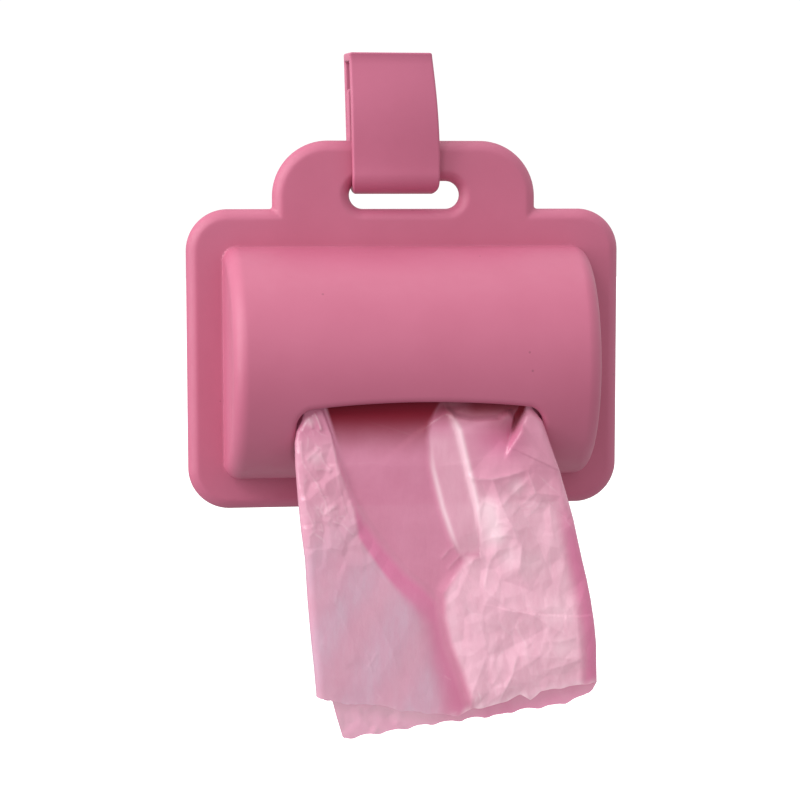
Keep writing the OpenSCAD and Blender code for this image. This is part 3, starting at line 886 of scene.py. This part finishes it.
def swell(x, z, waves, height):
    """Broad, smooth unevenness from a few waves in different directions."""
    total = np.zeros(x.shape)
    turn = 6.28
    for _ in range(waves):
        angle, length, phase = rng.uniform(0, math.pi), rng.uniform(9, 26), rng.uniform(0, turn)
        total += np.sin((x * math.cos(angle) + z * math.sin(angle)) * turn / length + phase)
    return height * total / waves**0.5


def front_relief(x, z):
    """How far the front ply stands forward of its plane, and what the film's tone, its painted highlights
    and its painted shade follow.
    """
    from_left, from_right, from_first, from_second, from_foot = (
        beside(x, z, line)[0] for line in (band_left, band_right, first_pleat, second_pleat, pleat_foot)
    )
    left, right = edges_at(z)
    within = from_left / np.maximum(from_left - from_right, 1e-6)
    across = np.where(from_left <= 0, 0, np.where(from_right >= 0, 1, within))
    foot_share = below(z, 93, 3)
    right_side = smooth(from_second / 0.8 + 0.5) * (1 - foot_share) + smooth(from_foot / 1.6) * foot_share
    between = smooth(from_first / 0.8) * (1 - right_side) * (1 - foot_share) * below(z, 69, 4)
    left_side = 1 - smooth(across)
    side_strip = smooth((x - right + 4.6) / 3.4) * below(z, 78, 16)
    left_hem = smooth((left + 0.65 - x) / 0.4) * below(z, 80, 10)

    # Relief: the steps of the pleats and folds, the traced creases, then the crumpling between them.
    relief = 0.8 * left_side
    relief += rise(x, z, first_pleat, 0.5, 2.4, 9, 0.4, 0.2)
    relief += rise(x, z, second_pleat, 0.7, 1.2, 14, 0.05, 0.3)
    relief += rise(x, z, pleat_foot, 0.6, 3.0, 16, 0.2, 0.1)
    relief += rise(x, z, rolled_in, 1.1, 1.2, 5, 0.1, 0.1)
    relief += rise(x, z, tongue, 1.3, 0.8, 6, 0.02, 0.4)
    relief -= ridge(x, z, notch_roll, 2.2, 1.7, 0.4, 0.02, 0.5)[0]
    crest = np.zeros(x.shape)
    for pixels, height, left_width, right_width in creases:
        line = traced(*pixels)
        up, white = ridge(x, z, line, 0.42 * height, 0.75 * left_width, 0.75 * right_width)
        relief += up
        crest = np.maximum(crest, white * (1.5 if line[0, 0] > 8 else 1))
    for zone in crumple_zones:
        up, white = scattered(x, z, zone)
        relief += 0.3 * up
        crest = np.maximum(crest, white)
    # Sheen: painted highlight along the pleats and the bright facet, at the glints and along the hem.
    sheen = np.zeros(x.shape)
    for line, strength, width, start in (
        (first_pleat, 0.7, 0.6, 0.4),
        (second_pleat, 0.8, 0.9, 0.15),
        (bright_facet, 0.8, 2.6, 0.3),
    ):
        away, along = beside(x, z, line)
        streak = np.where(away < 0.4, (away - 0.4) / width, (away - 0.4) / (0.6 * width))
        sheen = np.maximum(sheen, strength * bell(streak) * tapered(along, start, 0.3))
    rough = most(
        right_side * below(z, 75, 6) * (1 - 0.7 * side_strip),
        0.5 * left_side * smooth((100 + z) / 14),
        0.5 * below(z, 116, 5) * (0.4 + 0.6 * right_side),
    )
    facets = crumpled(x, z, 3.4, 0.20) + crumpled(x, z, 1.5, 0.06)
    relief += folded(x, z, facet_corners) + rough * facets
    gathered = left_side * smooth((103 + z) / 14)
    relief += gathered * crumpled(x, z, 3.2, 0.30) + 0.5 * left_side * crumpled(x, z, 12.0, 0.10)
    relief += swell(x, z, 7, 0.08)

    # Tones: deeper where plies lie doubled, pale where the film is bunched, cool on its smooth left part;
    # some of it is painted light.
    lower = below(z, 96, 14)
    band = smooth(from_left / (1.0 + 3.5 * lower)) * smooth(-from_right / 1.8) * (1 - 0.35 * lower)
    # Painted shade deepens the pink in the fold beside the notch.
    fold_shade = bell(np.hypot((x - fold_spot[0]) / 4.5, (z - fold_spot[1]) / 3.6))
    doubled = most(band, 0.85 * side_strip, 0.1 * left_hem, 0.8 * fold_shade * smooth(from_second / 1.5))
    stripe = 0.5 + 0.5 * np.sin((0.8 * x - 0.6 * z) * 0.62 + 1.2 * np.sin(z * 0.11) + 0.8)
    cool = left_side * below(z, 80, 22) * (0.45 + 0.55 * stripe)
    gloss = left_side * (1 - stripe) * below(z, 92, 6)
    # Pale is also painted highlight on the lit right side, on the panel between the pleats and on glossy
    # streaks on the left.
    pale = most(
        0.6 * between * (1 - cool),
        right_side * (0.3 + 0.7 * below(z, 78, 8)) * (1 - 0.8 * side_strip),
        0.35 * gloss,
        0.45 * gathered * below(z, 69, 5),
    )
    for spot, radius, strength in glints:
        spot_x, spot_z = traced(spot)[0]
        sheen = np.maximum(sheen, strength * bell(np.hypot(x - spot_x, z - spot_z) / radius))
    # A strip of painted highlight along the front hem.
    hem_edge = bell((z - z[-1:]) / 0.8) * smooth((x - 4) / 4)
    sheen = np.maximum(sheen, hem_edge * (0.3 + 0.15 * np.sin(x * 2.3)))
    # Where painted shade goes: the recess beside the pleats, the shade beside the notch, and the fold right
    # under the lip.
    inset = smooth(from_right / 0.8) * (1 - smooth(beside(x, z, recess_edge)[0] / 1.6 + 0.5))
    inset += 0.55 * bell((x - fold_spot[0]) / 4.0) * smooth(from_second / 2.0)
    notch = beside(x, z, notch_roll)[0]
    notch = np.where(notch < 0, notch / 1.3, notch / 0.4)
    inset = np.clip(np.maximum(inset, 1.5 * bell(notch) * smooth((x - 17) / 1.5)), 0, 1)
    brow = smooth((x + 1) / 2) * (0.8 + 0.2 * smooth((x - 8) / 3)) * smooth((19.8 - x) / 0.8)
    tones = {"doubled": doubled, "pale": pale, "cool": cool, "crest": crest, "sheen": sheen}
    return relief, {**tones, "inset": inset, "brow": brow}


def ply_points(share, hem, scallop, seed):
    drop = np.linspace(0, 1, rows)[:, None]
    z = top_z + drop * (hem_at(share, hem, scallop, seed)[None, :] - top_z)
    left, right = edges_at(z)
    return left + share[None, :] * (right - left), z


def on_roll(z, clearance):
    """The film's y while it still lies on the roll, and how far it has left the roll. It leaves it slack."""
    reach = roll_r + clearance
    y = roll_at[0] - np.sqrt(np.maximum(reach**2 - (z - roll_at[1]) ** 2, 0))
    return y, below(z, leaves_roll, 1.0)


front_share = np.linspace(0, 1, front_columns)
back_share = np.linspace(1, 0, back_columns + 2)[1:-1]
back_share = 0.55 * back_share + 0.45 * back_share**2
back_hem[:, 1] -= back_drop
fx, fz = ply_points(front_share, front_hem, 0.26, 1.3)
bx, bz = ply_points(back_share, back_hem, 0.42, 0.4)
relief, tones = front_relief(fx, fz)
forward = np.interp(-fz, [60, at_lip, 67, 71, 77, 88, 130], [21.0, 21.0, 21.3, 22.2, 22.9, 23.2, 22.9])
rolled_y, gone = on_roll(fz, 0.25)
fy = rolled_y + gone * (-forward - relief * below(fz, at_lip, 4.0) - rolled_y)
back_relief = swell(bx, bz, 9, 0.16)
for back_zone in (
    ((430, 715), 26.0, 5.0, 60, (1.0, 5.0), (0.05, 0.3), (0.3, 0.9)),
    ((370, 720), 8.0, 4.0, 14, (2.0, 6.0), (0.1, 0.35), (0.4, 1.0)),
):
    back_relief += scattered(bx, bz, back_zone)[0]
back_relief += crumpled(bx, bz, 3.0, 0.14)
rolled_y, gone = on_roll(bz, 0.05)
backward = np.interp(-bz, [60, at_lip, 71, 88, 130], [20.68, 20.68, 20.72, 20.9, 20.9])
by = rolled_y + gone * (-backward - back_relief * below(bz, 66, 6) - rolled_y)


def closed_in(share, own, other_share, other):
    """Draws a ply's y in to meet the other ply at the side folds, in a small round."""
    order = np.argsort(other_share)
    facing = np.array([np.interp(share, other_share[order], row[order]) for row in other])
    opening = np.clip(np.minimum(share, 1 - share) / side_fold, 0, 1)
    middle = (own + facing) / 2
    return middle + (own - middle) * np.sqrt(1 - (1 - opening) ** 2)


behind = np.array([np.interp(front_share, back_share[::-1], row[::-1]) for row in by])
fy = np.minimum(fy, behind - ply_gap)
fy, by = closed_in(front_share, fy, back_share, by), closed_in(back_share, by, front_share, fy)
bag_points = np.concatenate([np.stack([fx, fy, fz], 2), np.stack([bx, by, bz], 2)], axis=1)
bag_faces = skin(rows, front_columns + back_columns)

# The film glows faintly in its own tint: painted light that stands in for light coming through it.
film = Finish("bag_film", IOR=1.5, Specular_IOR_Level=0.6, Emission_Strength=0.1)
tone = {name: film.node("ShaderNodeAttribute", {"attribute_name": name}, {}, "Fac") for name in tones}
milky = film.ramp(film.noise(140, 4, 0.55), (0.35, 0.0), (0.7, 1.0))
haze_place = film.stretched((1.6, 1.0, 0.5), turn=(0, 0.5, 0))
haze = film.ramp(film.noise(330, 5, 0.6, haze_place), (0.4, 0.0), (0.65, 1.0))
broken = film.ramp(film.noise(520, 3, 0.6), (0.38, 0.25), (0.6, 1.0))
tint = film.mix(milky, (0.605, 0.208, 0.325, 1), (0.635, 0.236, 0.358, 1))
# Pale, sheen and the whitened creases lay painted highlight into the tint, and doubled lays in some painted
# shade.
for share, colour in (
    (tone["pale"] * (haze * 0.16 + 0.7), (0.90, 0.54, 0.65, 1)),
    (tone["cool"] * (haze * 0.25 + 0.65), (0.61, 0.40, 0.51, 1)),
    (tone["doubled"] * 0.9, (0.655, 0.160, 0.320, 1)),
    (tone["crest"] * broken * 0.8, (0.95, 0.76, 0.81, 1)),
    (tone["sheen"], (0.95, 0.70, 0.77, 1)),
):
    tint = film.mix(share, tint, colour)


def up_from(low, high):
    """0 up to the height low and 1 from high, in metres."""
    height = film.node("ShaderNodeSeparateXYZ", {}, {0: film.place()}, "Z")
    settings = {"interpolation_type": "SMOOTHSTEP"}
    return film.node("ShaderNodeMapRange", settings, {0: height, 1: low, 2: high})


# Painted shade: a flat dark red diffuse surface mixed over the deep recess beside the pleats and the fold
# right under the lip, which hardly any light reaches.
recess = tone["inset"] * up_from(-0.0762, -0.0670) * 0.97
brow = tone["brow"] * up_from(-0.0705, -0.0660) * 0.9
painted_shade_share = film.node("ShaderNodeMath", {"operation": "MAXIMUM"}, {0: recess, 1: brow})
deep = film.node("ShaderNodeBsdfDiffuse", {}, {"Color": (0.205, 0.010, 0.022, 1)})
clear = Flow(film, film.surface.outputs[0])
either = film.node("ShaderNodeMixShader", {}, {0: painted_shade_share, 1: clear, 2: deep})
film.tree.links.new(either.socket, film.tree.nodes["Material Output"].inputs["Surface"])
film.vary(Base_Color=tint, Emission_Color=tint)
film.vary(Alpha=tone["doubled"] * 0.08 + tone["inset"] * 0.06 + milky * 0.05 + 0.82)
film.vary(Roughness=film.ramp(film.noise(500, 2), (0.3, 0.13), (0.7, 0.24)))
film.bump(film.noise(1100, 2, 0.5, film.stretched((1.0, 1.0, 0.35))), 0.00004)
bag = new_piece("leading_bag_film", bag_points.reshape(-1, 3), bag_faces, film.material)
back_tones = {"cool": 0.5 - 0.5 * smooth((bx + 4) / 20), "doubled": 0.55 + 0.4 * smooth((bx + 2) / 12)}
for name, values in tones.items():
    around_bag = np.concatenate([values, back_tones.get(name, np.zeros(bx.shape))], axis=1)
    shades = bag.data.attributes.new(name, "FLOAT", "POINT").data
    shades.foreach_set("value", around_bag.ravel().astype(np.float32))
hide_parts("leading_bag")
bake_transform(bag)

# Studio. A white floor far below the hanging dispenser and a white surround, both burnt out in the picture
# as in a product photograph, and soft boxes on the left. The floor is kept out of what lights the pieces.
floor_z, floor_half = -0.26, 6.0
floor_corners = [(x * floor_half, y * floor_half, floor_z) for x, y in ((-1, -1), (1, -1), (1, 1), (-1, 1))]
floor_mesh = bpy.data.meshes.new("floor")
floor_mesh.from_pydata(floor_corners, [], [(0, 1, 2, 3)])
paint = Finish("floor_paint", Specular_IOR_Level=0.1, Emission_Strength=0.6)
cloudy, fine = paint.noise(6, 2), paint.noise(40, 2)
whites = (0.93, 0.93, 0.93, 1), (0.96, 0.96, 0.96, 1)
paint.vary(Base_Color=paint.mix(paint.ramp(cloudy, (0.3, 0.0), (0.7, 1.0)), *whites))
paint.vary(Roughness=paint.ramp(fine, (0.3, 0.6), (0.7, 0.75)))
paint.vary(Emission_Color=paint.ramp(cloudy, (0.3, 0.97), (0.7, 1.0)))
floor_mesh.materials.append(paint.material)
floor = placed("floor", floor_mesh)
floor.visible_diffuse = floor.visible_glossy = floor.visible_transmission = floor.visible_shadow = False
floor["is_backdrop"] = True


class Surround(Finish):
    """The light all round: its nodes are made as a finish's are, and its surface is the Background."""

    def __init__(self, world):
        world.use_nodes = True
        self.tree = world.node_tree
        self.surface = self.tree.nodes["Background"]


bpy.context.scene.world = bpy.data.worlds.new("surround")
surround = Surround(bpy.context.scene.world)
surround.surface.inputs["Color"].default_value = (1.0, 1.0, 1.0, 1)
way = surround.node("ShaderNodeTexCoord", {}, {}, "Generated")
height = surround.node("ShaderNodeSeparateXYZ", {}, {0: way}, "Z")
horizon = {"Value": height, "From Min": -0.1, "From Max": 0.1, "To Min": 0.52, "To Max": 0.82}
on_object = surround.node("ShaderNodeMapRange", {}, horizon)
in_picture = surround.node("ShaderNodeLightPath", {}, {}, "Is Camera Ray")
strengths = {"Value": in_picture, "To Min": on_object, "To Max": 1.05}
surround.vary(Strength=surround.node("ShaderNodeMapRange", {}, strengths))
aim = Vector((0, -0.01, -0.07))
for lamp_name, lamp_at, lamp_size, lamp_power in (
    ("left_soft_box", (-0.761, -0.214, 0.069), 0.5, 3.0),
    ("high_left_soft_box", (-0.592, -0.169, 0.444), 0.5, 2.5),
    ("top_soft_box", (0.0, -0.024, 0.73), 0.5, 1.0),
    ("front_left_soft_box", (-0.35, -0.565, 0.39), 0.22, 0.9),
):
    lamp = bpy.data.lights.new(lamp_name, "AREA")
    lamp.size = lamp_size
    lamp.energy = lamp_power
    lamp_object = placed(lamp_name, lamp)
    lamp_object.location = lamp_at
    lamp_object.rotation_euler = (aim - Vector(lamp_at)).to_track_quat("-Z", "Y").to_euler()
bpy.context.scene.view_settings.view_transform = "Standard"

low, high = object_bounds()
